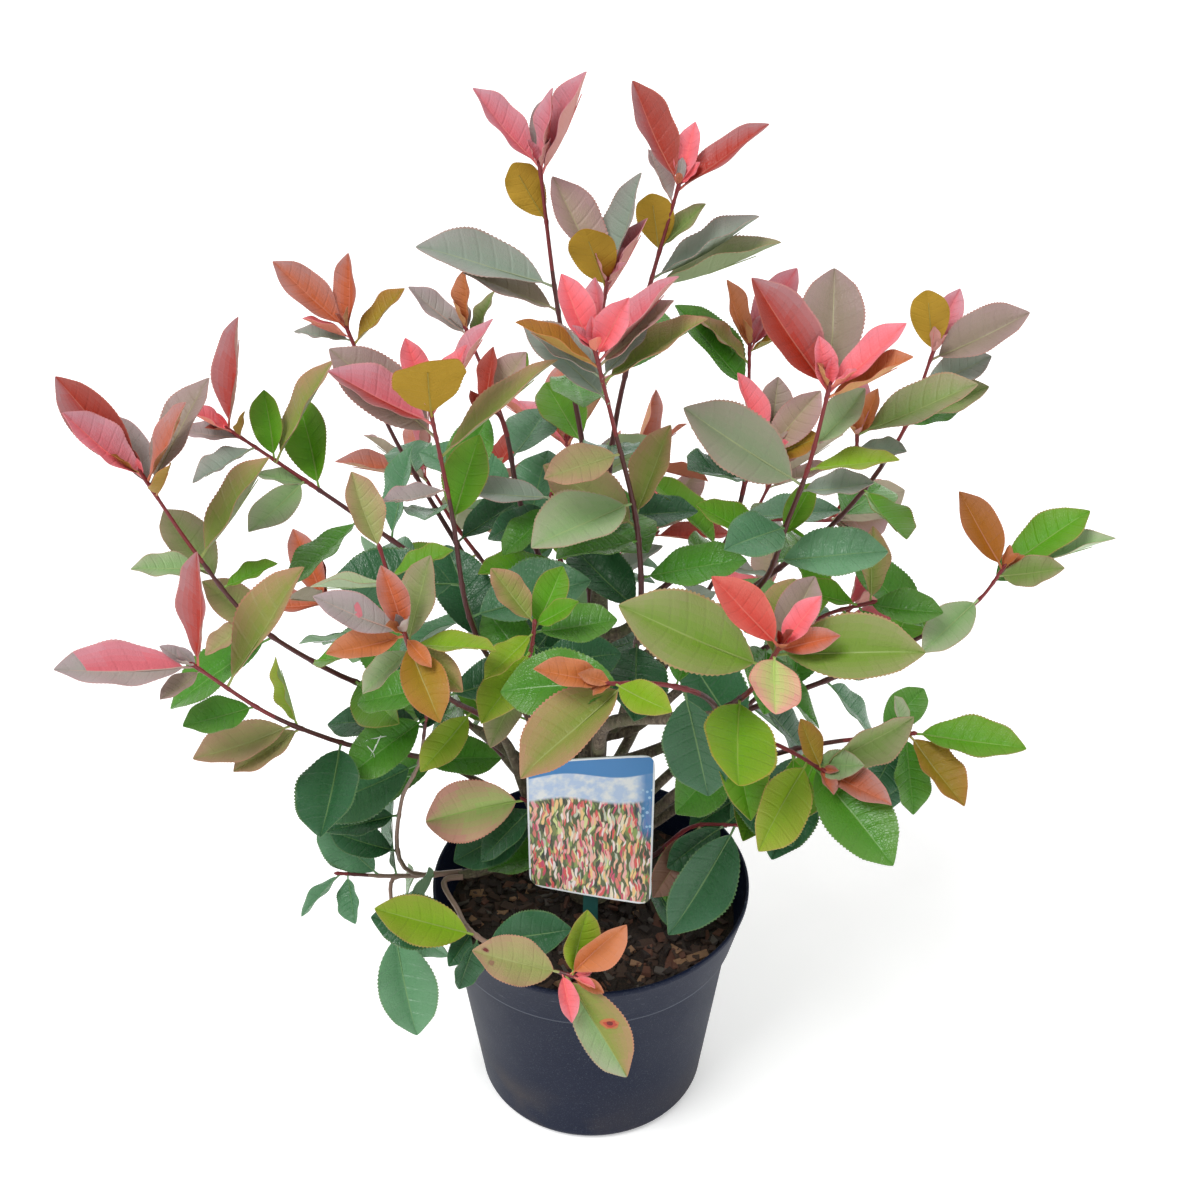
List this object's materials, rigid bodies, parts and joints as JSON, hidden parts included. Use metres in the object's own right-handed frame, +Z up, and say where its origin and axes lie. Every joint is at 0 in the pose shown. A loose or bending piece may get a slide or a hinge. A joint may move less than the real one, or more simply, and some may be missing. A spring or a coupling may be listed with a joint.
{
  "type": "potted red tip photinia",
  "caption": "Bushy evergreen shrub with coral-red young leaves over bronze and green older ones, standing in a tapered nursery pot with a care label.",
  "frame": {"origin": "centre of the pot's flat underside", "axes": "+Z up, -Y towards the front, where the label faces, +X to the right seen from the front"},
  "size_m": [0.7925, 0.5909, 0.9291],
  "materials": {
    "pot_plastic": "matt, faintly speckled",
    "bark_compost": "rough, moist",
    "printed_card": "semi-gloss print",
    "stake_plastic": "satin",
    "bark": "rough, young shoots smooth",
    "red_foliage": "satin, lightly glossy leaves",
    "green_foliage": "satin, lightly glossy leaves",
    "dark_foliage": "glossy leaves"
  },
  "bodies": {
    "root": {"pot": "pot_plastic", "compost": "bark_compost", "label_card": "printed_card", "label_stake": "stake_plastic", "trunk": "bark", "bough_centre": "bark", "bough_left_centre": "bark", "bough_left_back": "bark", "bough_upper_left": "bark", "bough_left_high": "bark", "bough_far_left": "bark", "bough_low_left": "bark", "bough_front_left": "bark", "bough_front_small": "bark", "bough_low": "bark", "bough_front": "bark", "bough_right_centre": "bark", "bough_right_inner": "bark", "bough_right_high": "bark", "bough_far_right": "bark", "bough_right_mid": "bark", "bough_right_front": "bark", "bough_right_low": "bark", "bough_back_left": "bark", "bough_back": "bark", "bough_back_right": "bark", "bough_low_back_left": "bark", "bough_low_back": "bark", "bough_low_back_right": "bark", "foliage_peak_left": "red_foliage", "foliage_peak_right": "red_foliage", "foliage_centre": "red_foliage", "foliage_left_centre": "red_foliage", "foliage_left_back": "red_foliage", "foliage_upper_left": "red_foliage", "foliage_left_high": "red_foliage", "foliage_far_left": "red_foliage", "foliage_low_left": "red_foliage", "foliage_front_left": "green_foliage", "foliage_front_small": "green_foliage", "foliage_low_left_dark": "dark_foliage", "foliage_rim_front": "green_foliage", "foliage_front_mid": "green_foliage", "foliage_front_red": "red_foliage", "foliage_right_centre": "red_foliage", "foliage_right_inner": "red_foliage", "foliage_right_high": "red_foliage", "foliage_far_right": "green_foliage", "foliage_right_mid": "green_foliage", "foliage_right_front": "green_foliage", "foliage_right_low": "green_foliage", "foliage_inner_right": "dark_foliage", "foliage_inner_left": "dark_foliage", "foliage_inner_top": "green_foliage", "foliage_back_left": "green_foliage", "foliage_back": "green_foliage", "foliage_back_right": "green_foliage", "foliage_low_back_left": "dark_foliage", "foliage_low_back": "dark_foliage", "foliage_low_back_right": "dark_foliage"}
  },
  "joints": []
}
